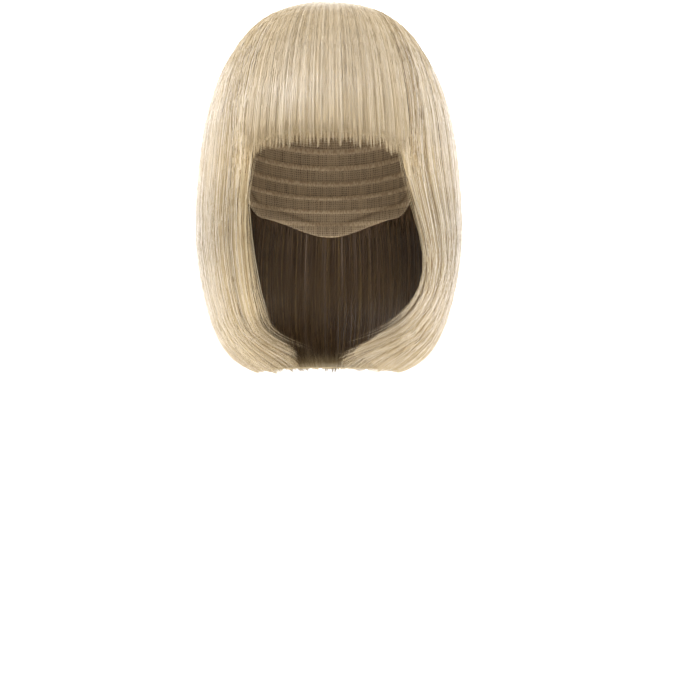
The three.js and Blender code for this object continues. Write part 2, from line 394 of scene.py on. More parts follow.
def strand_places(name, batch, shared, start, along, rng):
    """How far down the rings each point of each strand lies."""
    field = FIELDS[name]
    hem = hem_ring(field.hem, field_azimuth(name, start, np.full(start.shape, float(RING["brow"]))))
    lock, within = shared.lock(start)
    clump, _ = shared.clump(start)
    notch = field.notch * between(shared.lock_trim[lock], 1.0, within ** NOTCH_POWER)
    short = notch + field.ragged * shared.clump_trim[clump]
    if is_side(name):
        behind = smooth(start / FREE_EDGE_ROUND)
        short = short * between(FACE_RAGGED, 1.0, behind)
        short = short + field.face_short * (1 - behind)
        short = short - field.turned * rise(start, TURNED_FROM) * (1 - rise(start, TURNED_TO))
    tip = hem - short - rng.uniform(*batch.trim, start.shape)
    root = rng.uniform(*batch.root, start.shape)
    return between(root, tip, along)


def strand_across(name, batch, shared, start, along, place, rng):
    """Where each point of each strand lies across its field."""
    field = FIELDS[name]
    lock, _ = shared.lock(start)
    _, middle = shared.clump(start)
    lock_wave = np.sin(math.tau * (shared.lock_speed[lock] * along + shared.lock_phase[lock]))
    stray = field.sway * lock_wave * smooth(along / SWAY_SHARE)
    stray = stray + batch.stray * waves(rng, batch.count, along)
    meet = batch.gather * rise(along, (batch.gather_from, 1.0))
    across = start + stray / field.width + meet * (middle - start)
    across = across + batch.sweep * rng.uniform(0.0, 1.0, start.shape) * smooth(along)
    if is_side(name):
        carried = np.clip(rng.uniform(*FORWARD_STRANDS, start.shape), 0.0, 1.0)
        front = np.clip(1 - start / FREE_EDGE_ROUND, 0.0, 1.0) * carried
        above = 1 - rise(place, (RING["temple"], RING["cheek"]))
        across = across + FORWARD_SWEEP * front * above
    return across


def strand_depths(name, batch, shared, start, along, place, across, wall, drawn, rng):
    """How far each point of each strand lies under the outer surface.

    drawn is each strand's own depth.
    """
    depth = drawn + DEPTH_WAVE * waves(rng, batch.count, along)
    nearness = face_nearness(name, across, place)
    inside = inner_depth(nearness, wall)
    if batch.inside:
        return inside - depth
    _, within = shared.lock(start)
    relief = FIELDS[name].groove * within ** 2 + STREAK_RELIEF * shared.relief.at(start, along)
    buried = place[:, :1] > BURIED_FROM
    root = ROOT_DEPTH * buried * (1 - smooth(along / ROOT_SHARE))
    depth = depth + relief + root + outer_depth(nearness, wall)
    return np.minimum(depth, inside - INNER_CLEARANCE)


def strand_tones(batch, shared, start, drawn, rng):
    """How pale each strand is, from 0 to 1."""
    tones = STREAK_TONE * shared.tone.at(start, np.full(start.shape, HALFWAY))
    tones = tones + rng.normal(0.0, STRAND_TONE, start.shape)
    tones = tones - DARK_TONE * (rng.uniform(0.0, 1.0, start.shape) < DARK_SHARE)
    tones = MIDDLE_TONE - batch.shade + tones * (INSIDE_SPREAD if batch.inside else batch.spread)
    tones = tones - DEPTH_SHADE * np.maximum(drawn, 0.0)
    return np.clip(tones, *TONE_LIMITS)[:, 0]


def lay_strands(name, batch, rng):
    """The tubes of one batch of strands."""
    shared = Shared(name)
    along = evened(np.linspace(0.0, 1.0, batch.segments + 1))[None, :]
    start = stratified(rng, batch.count, *batch.across, batch.skew)[:, None]
    place = strand_places(name, batch, shared, start, along, rng)
    across = strand_across(name, batch, shared, start, along, place, rng)
    azimuth = field_azimuth(name, across, place) + whorl_turn(place)
    wall = wall_at(place, azimuth)
    drawn = between(*batch.depth, rng.uniform(0.0, 1.0, start.shape) ** DEPTH_POWER)
    depth = strand_depths(name, batch, shared, start, along, place, across, wall, drawn, rng)
    outward = surface_normal(place, azimuth)
    paths = surface_point(place, azimuth) - outward * depth[..., None]
    widths = rng.uniform(*batch.width, batch.count)
    tones = strand_tones(batch, shared, start, drawn, rng)
    return tubes(paths, outward, widths, tones, along[0], place, batch.taper_from)


# Meshes from arrays. A part is its vertices in mm, its triangles and each corner's place on the map

BAKE_MAP = "OFBake"
STRAND_SHARE = 0.5  # of the map's width: strands lie to the left of it and bodies to the right
OUTER_SHARE = (0.51, 0.75)  # where the outsides of bodies lie across the map
INNER_SHARE = (0.76, 1.0)  # and where the insides of the fields lie
TONE_WIDTH = 0.01  # of the map that one strand takes up
TUBE_SIDES = 3
TUBE_TIP = 0.12  # of a strand's width that is left at its tip
TUBE_ROOT = 0.55  # of its width that it has at its root
TUBE_ROOT_SHARE = 0.08  # of its length over which it widens


def map_height(place):
    """How far up the map a place on the rings lies."""
    return place / (len(RINGS) - 1)


def tube_vertices(paths, outward, widths, along, taper_from):
    """The corners of tubes round paths, which thin out from a share of their length on."""
    thin_out = between(1.0, TUBE_TIP, rise(along, (taper_from, 1.0)))
    taper = 0.5 * between(TUBE_ROOT, 1.0, smooth(along / TUBE_ROOT_SHARE)) * thin_out
    tangent = unit(np.gradient(paths, axis=1))
    side = unit(np.cross(tangent, outward))
    lift = np.cross(side, tangent)
    radius = (widths[:, None] * taper)[:, :, None]
    turns = math.tau * np.arange(TUBE_SIDES) / TUBE_SIDES + math.pi / 2
    corners = [paths + radius * (math.cos(a) * side + math.sin(a) * lift) for a in turns]
    return np.stack(corners, 2).reshape(-1, 3)


def tubes(paths, outward, widths, tones, along, place, taper_from):
    """Closed three-sided tubes that taper to their tips. The map goes across by tone and up by ring."""
    count, points, _ = paths.shape
    vertices = tube_vertices(paths, outward, widths, along, taper_from)
    index = np.arange(count * points * TUBE_SIDES).reshape(count, points, TUBE_SIDES)
    left = STRAND_SHARE * tones[:, None] - TONE_WIDTH / 2
    heights = map_height(place)
    triangles, maps = [], []
    for k in range(TUBE_SIDES):
        n = (k + 1) % TUBE_SIDES
        here, there = index[:, :-1], index[:, 1:]
        quad = (here[..., k], there[..., k], there[..., n], here[..., n])
        u = left + TONE_WIDTH * np.array([k, k, k + 1, k + 1]) / TUBE_SIDES
        v = (heights[:, :-1], heights[:, 1:], heights[:, 1:], heights[:, :-1])
        places = [np.stack(np.broadcast_arrays(u[:, c, None], v[c]), -1) for c in range(4)]
        for three in ((0, 1, 2), (0, 2, 3)):
            triangles.append(np.stack([quad[c] for c in three], -1).reshape(-1, 3))
            maps.append(np.stack([places[c] for c in three], -2).reshape(-1, 3, 2))
    for end, order in ((0, (0, 1, 2)), (points - 1, (2, 1, 0))):
        triangles.append(index[:, end][:, order])
        u = left + TONE_WIDTH * np.array(order) / TUBE_SIDES
        maps.append(np.stack([u, np.broadcast_to(heights[:, end, None], u.shape)], -1))
    return vertices, np.concatenate(triangles), np.concatenate(maps)


def grid(rows, columns):
    """Shares from 0 to 1 across and along a grid of points."""
    v, u = np.meshgrid(np.linspace(0, 1, rows), np.linspace(0, 1, columns), indexing="ij")
    return u, v


def body_map(u, v, low, high):
    """Places on a part of the map that bodies take, from low to high across it."""
    return np.stack([between(low, high, u), v], -1)


def sheet_triangles(index, flip):
    """Triangles of a grid of vertex numbers."""
    a, b, c, d = index[:-1, :-1], index[1:, :-1], index[1:, 1:], index[:-1, 1:]
    if flip:
        b, d = d, b
    return np.concatenate([np.stack(t, -1).reshape(-1, 3) for t in ((a, b, c), (a, c, d))])


def shell(outer, inner):
    """A closed wall between an outer and an inner grid of points, with a rim all round."""
    rows, columns, _ = outer.shape
    index = np.arange(rows * columns).reshape(rows, columns)
    size = index.size
    rim = np.concatenate([index[:, 0], index[-1, 1:], index[-2::-1, -1], index[0, -2:0:-1]])
    after = np.roll(rim, -1)
    triangles = np.concatenate([
        sheet_triangles(index, False),
        sheet_triangles(index + size, True),
        np.stack([rim, rim + size, after + size], -1),
        np.stack([rim, after + size, after], -1),
    ])
    vertices = np.concatenate([outer.reshape(-1, 3), inner.reshape(-1, 3)])
    shares = (OUTER_SHARE, INNER_SHARE)
    flat = [body_map(*grid(rows, columns), *share).reshape(-1, 2) for share in shares]
    return vertices, triangles, np.concatenate(flat)[triangles]


def dome(outer, inner, heights):
    """A closed wall that goes all round, with a pole on top and a rim below. heights go up the map."""
    rows, columns, _ = outer.shape
    size = rows * columns
    wrapped = np.arange(size).reshape(rows, columns)
    wrapped = np.concatenate([wrapped, wrapped[:, :1]], 1)
    poles = (2 * size, 2 * size + 1)
    flat_u = np.broadcast_to(np.linspace(0, 1, columns + 1), wrapped.shape)
    flat_v = np.concatenate([heights, heights[:, :1]], 1)
    flat = body_map(flat_u, flat_v, *OUTER_SHARE).reshape(-1, 2)
    seam = np.arange(wrapped.size).reshape(wrapped.shape)
    corners = [sheet_triangles(seam, False), sheet_triangles(seam, True)]
    numbers = wrapped.ravel()
    triangles = [numbers[corners[0]], numbers[corners[1]] + size]
    maps = [flat[corners[0]], flat[corners[1]]]
    here, after = seam[-1, :-1], seam[-1, 1:]
    for three, lower in (((here, here, after), (0, 1, 1)), ((here, after, after), (0, 1, 0))):
        triangles.append(np.stack([numbers[t] + size * low for t, low in zip(three, lower)], -1))
        maps.append(np.stack([flat[t] for t in three], -2))
    here, after = seam[0, :-1], seam[0, 1:]
    for layer, order in enumerate(((here, after), (after, here))):
        ends = [numbers[t] + size * layer for t in order]
        triangles.append(np.stack([np.full(columns, poles[layer]), *ends], -1))
        maps.append(np.stack([(flat[here] + flat[after]) / 2 * (1, 0), *(flat[t] for t in order)], -2))
    tops = [outer[0].mean(0), inner[0].mean(0)]
    vertices = np.concatenate([outer.reshape(-1, 3), inner.reshape(-1, 3), tops])
    return vertices, np.concatenate(triangles), np.concatenate(maps)


def joined(parts):
    """Several parts as one."""
    offsets = np.concatenate([[0], np.cumsum([len(p[0]) for p in parts])[:-1]])
    return (
        np.concatenate([p[0] for p in parts]),
        np.concatenate([p[1] + o for p, o in zip(parts, offsets)]),
        np.concatenate([p[2] for p in parts]),
    )


def mesh_object(name, parts, materials):
    """One object from parts. Part i takes material i."""
    vertices, triangles, maps = joined(parts)
    slots = np.concatenate([np.full(len(p[1]), i) for i, p in enumerate(parts)])
    mesh = bpy.data.meshes.new(name)
    mesh.vertices.add(len(vertices))
    mesh.vertices.foreach_set("co", (vertices * MM).astype(np.float32).ravel())
    mesh.loops.add(triangles.size)
    mesh.loops.foreach_set("vertex_index", triangles.astype(np.int32).ravel())
    mesh.polygons.add(len(triangles))
    mesh.polygons.foreach_set("loop_start", np.arange(0, triangles.size, 3, dtype=np.int32))
    mesh.polygons.foreach_set("material_index", slots.astype(np.int32))
    layer = mesh.uv_layers.new(name=BAKE_MAP)
    layer.data.foreach_set("uv", maps.astype(np.float32).ravel())
    mesh.update(calc_edges=True)
    mesh.validate()
    mesh.shade_smooth()
    for material in materials:
        mesh.materials.append(material)
    made = bpy.data.objects.new(name, mesh)
    bpy.context.scene.collection.objects.link(made)
    return made


# Materials

def srgb(red, green, blue):
    """A display colour from 0 to 255 as a linear colour."""
    def linear(c):
        c = c / 255
        return c / 12.92 if c <= 0.04045 else ((c + 0.055) / 1.055) ** 2.4
    return (linear(red), linear(green), linear(blue), 1.0)


class Tree:
    """A new material's nodes, with short calls to add and link them."""

    def __init__(self, name):
        self.material = bpy.data.materials.new(name)
        self.material.use_nodes = True
        self.nodes = self.material.node_tree.nodes
        self.links = self.material.node_tree.links
        self.shader = self.nodes["Principled BSDF"]

    def put(self, node, socket, value):
        if isinstance(value, bpy.types.NodeSocket):
            self.links.new(value, node.inputs[socket])
        else:
            node.inputs[socket].default_value = value

    def add(self, kind, inputs, **settings):
        node = self.nodes.new("ShaderNode" + kind)
        for key, value in settings.items():
            setattr(node, key, value)
        for socket, value in inputs.items():
            self.put(node, socket, value)
        return node

    def math(self, operation, *values):
        return self.add("Math", dict(enumerate(values)), operation=operation).outputs["Value"]

    def place(self):
        """The place on the bake map, whole and as its two parts."""
        uv = self.add("UVMap", {}, uv_map=BAKE_MAP).outputs["UV"]
        parts = self.add("SeparateXYZ", {"Vector": uv}).outputs
        return uv, parts["X"], parts["Y"]

    def noise(self, place, scale, detail):
        """Noise stretched over the map."""
        mapping = self.add("Mapping", {"Vector": place, "Scale": scale})
        inputs = {"Vector": mapping.outputs["Vector"], "Scale": 1.0, "Detail": detail}
        return self.add("TexNoise", inputs).outputs[0]

    def rise(self, value, span, top):
        """A smooth rise from 0 to top over a span of the value."""
        inputs = {"Value": value, "From Min": span[0], "From Max": span[1], "To Max": top}
        return self.add("MapRange", inputs, interpolation_type="SMOOTHSTEP").outputs["Result"]

    def ramp(self, value, *stops):
        """A colour from stops of a position and a colour."""
        node = self.add("ValToRGB", {"Fac": value})
        elements = node.color_ramp.elements
        while len(elements) < len(stops):
            elements.new(0.5)
        for element, (position, colour) in zip(elements, stops):
            element.position = position
            element.color = colour
        return node.outputs["Color"]

    def mix(self, share, first, second, blend="MIX"):
        inputs = {0: share, 6: first, 7: second}
        return self.add("Mix", inputs, data_type="RGBA", blend_type=blend).outputs[2]

    def finish(self, **sockets):
        """Sets the shader, with spaces in the names of its sockets written as underscores."""
        for socket, value in sockets.items():
            self.put(self.shader, socket.replace("_", " "), value)
        return self.material


# Painted shade: the darkest tone is the deep brown of the hair inside the wig, in shade
HAIR_DEEP_SHADE = srgb(84, 62, 38)
HAIR_DARK = srgb(158, 132, 88)
HAIR_MID = srgb(199, 178, 140)
HAIR_PALE = srgb(226, 211, 184)
# Painted sheen: the palest tone stands in for the light along the outline
HAIR_PAINTED_SHEEN = srgb(239, 230, 218)
FULL_LIGHT = (1.0, 1.0, 1.0, 1.0)
# Painted shade by height: how much of its colour the hair keeps from ring to ring, darkest at the ear
# and cheek
TEMPLE_SHADE = (0.93, 0.93, 0.93, 1.0)
FOREHEAD_SHADE = (0.98, 0.985, 1.0, 1.0)
LASH_SHADE = (0.91, 0.91, 0.91, 1.0)
BROW_SHADE = (0.94, 0.93, 0.91, 1.0)
EAR_SHADE = (0.68, 0.655, 0.585, 1.0)
CHEEK_SHADE = (0.6, 0.57, 0.495, 1.0)
COLLAR_SHADE = (0.9, 0.895, 0.88, 1.0)
SHADES = (
    ("whorl", FULL_LIGHT),
    ("top", FULL_LIGHT),
    ("temple", TEMPLE_SHADE),
    ("forehead", FOREHEAD_SHADE),
    ("lash", LASH_SHADE),
    ("brow", BROW_SHADE),
    ("ear", EAR_SHADE),
    ("cheek", CHEEK_SHADE),
    ("collar", COLLAR_SHADE),
)
TONE_STOPS = (
    (0.08, HAIR_DEEP_SHADE), (0.2, HAIR_DARK), (0.32, HAIR_MID), (0.44, HAIR_PALE), (0.52, HAIR_PAINTED_SHEEN),
)
PAINTED_SHEEN_TONES = (0.36, 0.42)  # from these on, a strand is painted pale as a sheen along the outline, and kept out of the painted shade by height
STRAND_NOISE = (80.0, 3.0, 1.0)  # its scale across and up the map
STRAND_DETAIL = 2.0
NOISE_TONE = 0.16
STRAND_ROUGHNESS = (0.26, 0.36)
HAIR_IOR = 1.55

# Light gets to the inside of the tips here: heights on the map, and shares of a body's length
TIPS = (map_height(RING["turn"]), map_height(RING["tip"] + 0.3))
BODY_TIPS = (0.9, 1.0)
TIP_TONE = 0.3  # that the strands have there at least


def strand_material():
    """Pale ash-blond strands. Each strand takes its tone from its place across the map, with painted
    shade by height ring by ring and a painted sheen along the outline.
    """
    tree = Tree("hair_strands")
    place, tone, height = tree.place()
    noise = tree.noise(place, STRAND_NOISE, STRAND_DETAIL)
    drifting = tree.math("MULTIPLY_ADD", noise, NOISE_TONE, tone)
    drifting = tree.math("MAXIMUM", drifting, tree.rise(height, TIPS, TIP_TONE))
    tones = tree.ramp(drifting, *TONE_STOPS)
    # painted shade by height, which the pale strands along the outline are kept out of
    ring_shade = tree.ramp(height, *((map_height(RING[ring]), shade) for ring, shade in SHADES))
    ring_shade = tree.mix(tree.rise(tone, PAINTED_SHEEN_TONES, 1.0), ring_shade, FULL_LIGHT)
    smoothest, roughest = STRAND_ROUGHNESS
    rough = tree.add("MapRange", {"Value": noise, "To Min": smoothest, "To Max": roughest})
    return tree.finish(
        Base_Color=tree.mix(1.0, tones, ring_shade, "MULTIPLY"),
        Roughness=rough.outputs["Result"],
        IOR=HAIR_IOR,
    )


BODY_STRIPES = (840.0, 2.5, 1.0)  # their scale across and up the map
BODY_DETAIL = 3.0
BODY_TONES = ((0.35, srgb(140, 119, 82)), (0.55, srgb(173, 153, 115)), (0.75, srgb(197, 179, 143)))
BODY_ROUGHNESS = 0.55
INSIDE_FROM = (OUTER_SHARE[1] + INNER_SHARE[0]) / 2  # across the map


def body_material():
    """The body under the strands: fine stripes along the hair, with painted shade on its inside except
    at its tips.
    """
    tree = Tree("hair_body")
    place, across, along = tree.place()
    stripes = tree.noise(place, BODY_STRIPES, BODY_DETAIL)
    tones = tree.ramp(stripes, *BODY_TONES)
    inside = tree.math("GREATER_THAN", across, INSIDE_FROM)
    # painted shade on the inside of the body, except at its tips
    shaded_inside = tree.mix(tree.rise(along, BODY_TIPS, 1.0), HAIR_DEEP_SHADE, tones)
    return tree.finish(Base_Color=tree.mix(inside, tones, shaded_inside), Roughness=BODY_ROUGHNESS)


WEFTS_PER_RING = 1.9  # rows of weft tape on the cap, for each ring of the hair
WEFT_SHARE = 0.3  # of a row that the tape takes up
WEFT_START = 0.45  # of a row that lies above the first tape
CAP_RINGS = 9.0  # the cap's map runs over this many rings
NET_CELLS = (1240.0, 130.0, 1.0)  # across and up the map
NET_RANDOM = 0.3
THREAD_SHARE = 0.1  # of a cell that the thread takes up on each side
THREAD = srgb(158, 134, 102)
BEHIND_STRIPES = (1000.0, 6.0, 1.0)
BEHIND_DETAIL = 3.0
# Painted shade: the hair seen through the net is painted dark, as it lies in shade behind it
SHADED_BEHIND_TONES = ((0.35, srgb(84, 68, 46)), (0.65, srgb(128, 108, 78)))
STITCHES = (1400.0, 60.0, 1.0)
STITCH_DETAIL = 1.0
TAPE_TONES = ((0.4, srgb(140, 117, 86)), (0.6, srgb(170, 147, 114)))
CAP_ROUGHNESS = 0.85


def cap_material():
    """Beige stretch net over the hair behind it, which is painted dark as shade, with rows of weft tape.
    """
    tree = Tree("cap_net")
    place, _, height = tree.place()
    cells = tree.add("Mapping", {"Vector": place, "Scale": NET_CELLS}).outputs["Vector"]
    inputs = {"Vector": cells, "Scale": 1.0, "Randomness": NET_RANDOM}
    net = tree.add("TexVoronoi", inputs, feature="DISTANCE_TO_EDGE").outputs["Distance"]
    stripes = tree.noise(place, BEHIND_STRIPES, BEHIND_DETAIL)
    behind = tree.ramp(stripes, *SHADED_BEHIND_TONES)
    on_thread = tree.math("LESS_THAN", net, THREAD_SHARE)
    open_net = tree.mix(on_thread, behind, THREAD)
    stitches = tree.noise(place, STITCHES, STITCH_DETAIL)
    tape = tree.ramp(stitches, *TAPE_TONES)
    rows = tree.math("MULTIPLY_ADD", height, WEFTS_PER_RING * CAP_RINGS, 1 - WEFT_START)
    rows = tree.math("FRACT", rows)
    on_tape = tree.math("LESS_THAN", rows, WEFT_SHARE)
    return tree.finish(Base_Color=tree.mix(on_tape, open_net, tape), Roughness=CAP_ROUGHNESS)


# Pieces

BODY_DEPTH = 2.2  # mm from the outer surface to the body under the strands
BODY_INSIDE = 1.2  # mm from the body to the inner surface
BODY_ROOT = 0.9  # ring where the bodies of the fields start
BODY_EDGE = 0.025  # of a side's width that its body stays clear of the face
BODY_THINNEST = 0.4  # mm
BODY_ROWS = 34
LOCK_COLUMNS = 6  # of a body, for each lock
FRINGE_COLUMNS = 3


def field_body(name):
    """The closed wall of hair under the strands of a field."""
    field = FIELDS[name]
    columns = FRINGE_COLUMNS if name == "fringe" else LOCK_COLUMNS
    across, along = grid(BODY_ROWS, columns * field.locks + 1)
    across = between(BODY_EDGE if is_side(name) else 0.0, 1.0, across)
    hem_azimuth = field_azimuth(name, across, np.full_like(across, RING["brow"]))
    place = between(BODY_ROOT, hem_ring(field.hem, hem_azimuth) - field.body_short, along)
    azimuth = field_azimuth(name, across, place) + whorl_turn(place)
    wall = wall_at(place, azimuth)
    _, within = Shared(name).lock(across)
    nearness = face_nearness(name, across, place)
    inside = inner_depth(nearness, wall) - BODY_INSIDE * (1 - nearness)
    depth = BODY_DEPTH * (1 - nearness) + field.groove * within ** 2 + outer_depth(nearness, wall)
    depth = np.minimum(depth, inside - BODY_THINNEST)
    outward = surface_normal(place, azimuth)
    surface = surface_point(place, azimuth)
    outer = surface - outward * depth[..., None]
    inner = surface - outward * inside[..., None]
    if name == "right":
        outer, inner = outer[:, ::-1], inner[:, ::-1]
    return shell(outer, inner)


FINE = (0.11, 0.17)  # mm that a single loose hair is wide
HALO = (0.13, 0.2)  # mm that the hairs along the outline are, which are painted pale as a sheen
WISP = (0.16, 0.26)  # mm that a few hairs together are
FRINGE_HAIR = (0.25, 0.47)  # mm that the fringe's strands are
# painted shade: the strands inside the hair are painted darker
INSIDE_SHADE = 0.45
# painted sheen: the hairs along the outline are painted paler
PAINTED_SHEEN_TONE = -0.4
LOOSE_HAIRS = Batch(
    50, 14, (0.6, 5.0), (-1.8, 0.0), trim=(0.0, 1.0), width=FINE, stray=5.0, gather=0.2,
)
SIDE_BATCHES = (
    # Long strands from the whorl, and shorter ones between them
    Batch(
        860, 17, (0.45, 1.1), (0.0, 1.4), across=(0.0, 1.02), trim=(0.0, 0.38), stray=0.5,
        gather=0.45, taper_from=0.84,
    ),
    Batch(
        340, 16, (1.1, 5.5), (0.2, 2.0), across=(0.0, 1.02), trim=(0.0, 0.3), stray=1.2,
        gather=0.45, taper_from=0.86,
    ),
    # The inside, in painted shade, and its edge along the face
    Batch(
        240, 10, (7.0, 8.0), (0.2, 2.2), trim=(0.1, 0.6), stray=2.4,
        shade=INSIDE_SHADE, inside=True,
    ),
    Batch(
        90, 12, (6.9, 7.6), (-0.3, 0.6), across=(0.0, 0.16), trim=(0.1, 0.6),
        shade=INSIDE_SHADE, inside=True,
    ),
    # The outer edge along the face
    Batch(140, 16, (2.0, 6.5), (0.0, 1.6), across=(0.0, 0.07), trim=(0.0, 0.4)),
    # Hairs along the outline, painted pale as a sheen, more of them towards the back
    Batch(
        205, 11, (1.6, 4.0), (-1.2, 0.2), across=(0.0, 1.02), skew=0.65, trim=(0.0, 0.6),
        width=HALO, stray=1.2, gather=0.3, shade=PAINTED_SHEEN_TONE,
    ),
    LOOSE_HAIRS,
    # Wisps that stand off towards the face, with half the painted sheen of the outline
    Batch(
        50, 14, (6.0, 8.5), (0.5, 6.0), across=(-0.01, 0.05), trim=(0.0, 0.8), width=WISP,
        stray=2.5, gather=0.0, sweep=-0.12, shade=PAINTED_SHEEN_TONE / 2,
    ),
)
# Long strands first, then shorter ones, and loose hairs last
BATCHES = {
    "fringe": (
        Batch(
            1450, 14, (0.45, 1.1), (0.0, 1.0), across=(-0.03, 1.03), trim=(-0.16, 0.06),
            width=FRINGE_HAIR, stray=0.4, gather=0.75, gather_from=0.92, taper_from=0.89, spread=0.75,
        ),
        Batch(
            600, 12, (1.1, 4.0), (0.2, 1.5), trim=(-0.14, 0.06),
            width=FRINGE_HAIR, stray=0.6, gather=0.75, gather_from=0.9, taper_from=0.87, spread=0.75,
        ),
        # Strands inside the fringe, painted a little darker as shade
        Batch(
            240, 8, (3.9, 4.6), (0.2, 1.2), trim=(-0.06, 0.2), stray=0.7, gather=0.75,
            gather_from=0.84, shade=0.15, inside=True,
        ),
        Batch(30, 14, (0.6, 3.0), (-0.8, 0.0), width=FINE, stray=2.0, gather=0.0),
    ),
    "left": SIDE_BATCHES,
    "right": SIDE_BATCHES,
    "back": (
        Batch(
            1200, 15, (0.45, 1.1), (0.0, 1.5), across=(-0.01, 1.01), gather_from=0.88, taper_from=0.9,
        ),
        Batch(540, 14, (1.1, 6.0), (0.2, 2.1), stray=1.2, gather_from=0.86, taper_from=0.88),
        # Hairs along the outline, painted pale as a sheen
        Batch(
            400, 8, (1.6, 4.0), (-1.2, 0.2), trim=(0.0, 0.6), width=HALO, stray=1.2, gather=0.3,
            shade=PAINTED_SHEEN_TONE,
        ),
        LOOSE_HAIRS,
    ),
    "back_inside": (
        Batch(
            900, 11, (7.2, 8.3), (0.2, 2.4), trim=(0.0, 0.5), stray=2.4,
            shade=INSIDE_SHADE, inside=True,
        ),
    ),
}


def strands_of(batches, name, rng):
    return joined([lay_strands(name, batch, rng) for batch in batches])


def dress(made, slot, *nodes):
    """Ties a piece to the part: the body that it rides on, and hides the parts that it stands for. slot
    is not used.
    """
    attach(made, "root")
    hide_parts(*nodes)


def make_field(name, strands, body):
    """One field of hair: its strands over its body."""
    rng = np.random.default_rng(SEED + sum(map(ord, name)))
    parts = [strands_of(BATCHES[name], name, rng), field_body(name)]
    made = mesh_object(FIELDS[name].node + "_strands", parts, [strands, body])
    dress(made, "hair", FIELDS[name].node)


def make_back_inside(strands):
    """The strands that show inside the back, below the cap."""
    rng = np.random.default_rng(SEED + 1)
    made = mesh_object("back_hair_inside", [strands_of(BATCHES["back_inside"], "back", rng)], [strands])
    dress(made, "hair", "back_hair")


CROWN_STRANDS = 620
CROWN_SEGMENTS = 9
CROWN_ROOTS = (0.02, 0.5)  # rings
CROWN_TIPS = (1.3, 2.8)
CROWN_SWAY = 2.0  # degrees
CROWN_DIP = 1.2  # mm that the tips go down into the hair
DIP_FROM = 0.6  # of their length
CROWN_WIDTHS = (0.28, 0.5)  # mm
CROWN_TAPER = 0.7  # of the length where they begin to thin out
CROWN_ROWS = 10
CROWN_COLUMNS = 65
CROWN_TOP = 0.03  # ring where the body's top closes
CROWN_RIM = RING["spiral"] + 0.02
CROWN_DEPTH = 1.4  # mm from the outer surface to the body
CROWN_INSIDE = 0.6  # mm from the body to the inner surface


def crown_strands(rng):
    """Short strands that start at the whorl and turn round it."""
    along = np.linspace(0.0, 1.0, CROWN_SEGMENTS + 1)
    start = stratified(rng, CROWN_STRANDS, 0.0, 360.0)[:, None]
    root = rng.uniform(*CROWN_ROOTS, start.shape)
    tip = rng.uniform(*CROWN_TIPS, start.shape)
    place = between(root, tip, along)
    azimuth = start + whorl_turn(place) + CROWN_SWAY * waves(rng, CROWN_STRANDS, along)
    depth = rng.uniform(0.0, 1.0, start.shape) + CROWN_DIP * rise(along, (DIP_FROM, 1.0))
    outward = surface_normal(place, azimuth)
    paths = surface_point(place, azimuth) - outward * depth[..., None]
    tones = np.clip(MIDDLE_TONE + rng.normal(0.0, STRAND_TONE, CROWN_STRANDS), *TONE_LIMITS)
    widths = rng.uniform(*CROWN_WIDTHS, CROWN_STRANDS)
    return tubes(paths, outward, widths, tones, along, place, CROWN_TAPER)


def crown_body():
    """The closed dome of hair under the strands round the whorl."""
    turns, along = (values[:, :-1] for values in grid(CROWN_ROWS, CROWN_COLUMNS))
    place = between(CROWN_TOP, CROWN_RIM, along)
    azimuth = 360.0 * turns
    outward = surface_normal(place, azimuth)
    surface = surface_point(place, azimuth)
    outer = surface - outward * CROWN_DEPTH
    inner = surface - outward * (wall_at(place, azimuth) - CROWN_INSIDE)[..., None]
    return dome(outer, inner, along)


def make_crown(strands, body):
    rng = np.random.default_rng(SEED + 2)
    made = mesh_object("crown_strands", [crown_strands(rng), crown_body()], [strands, body])
    dress(made, "hair", "crown")


CAP_ROWS = 112
CAP_COLUMNS = 145
CAP_TOP = 0.006  # of its length where the cap's top closes
NET_SHARE = 0.6  # of the cap's wall that the net takes up
TAPE_HEIGHT = 0.6  # mm
TAPE_SLOPE = 0.08  # of a row
BINDING_FROM = 0.93  # of the cap's length
BINDING_SLOPE = 0.015
BINDING_MIDDLE = 0.965
BINDING_HALF = 0.036


def cap_relief(place, along):
    """How far the weft tapes and the bound edge stand up from the net inside the cap, in mm."""
    phase = (place * WEFTS_PER_RING + 1 - WEFT_START) % 1.0
    falling = smooth((phase - WEFT_SHARE + TAPE_SLOPE) / TAPE_SLOPE)
    tape = smooth(phase / TAPE_SLOPE) * (1 - falling)
    rim = np.sqrt(np.clip(1 - ((along - BINDING_MIDDLE) / BINDING_HALF) ** 2, 0.0, 1.0))
    bound = smooth((along - BINDING_FROM) / BINDING_SLOPE)
    return between(TAPE_HEIGHT * tape, CAP_BINDING * rim, bound)


def make_cap(net):
    """The cap: net with raised rows of weft tape on its inside, and a bound edge."""
    turns, along = (values[:, :-1] for values in grid(CAP_ROWS, CAP_COLUMNS))
    azimuth = 360.0 * turns
    place = hem_ring(CAP_HEM, azimuth) * between(CAP_TOP, 1.0, along)
    under = wall_at(place, azimuth) + SEAT_GAP
    outward = surface_normal(place, azimuth)
    surface = surface_point(place, azimuth)
    outer = surface - outward * under[..., None]
    wall = NET_SHARE * CAP_WALL
    inner = surface - outward * (under + wall + cap_relief(place, along))[..., None]
    made = mesh_object("cap_dome", [dome(outer, inner, place / CAP_RINGS)], [net])
    dress(made, "cap_net", "cap")


# Floor, light and camera

FLOOR = -1.2  # well below the wig
FLOOR_RADIUS = 2.2
FLOOR_BEND = 1.2
WALL_HEIGHT = 2.6  # above the floor
STAGE_COLUMNS = 96
BEND_STEPS = 24


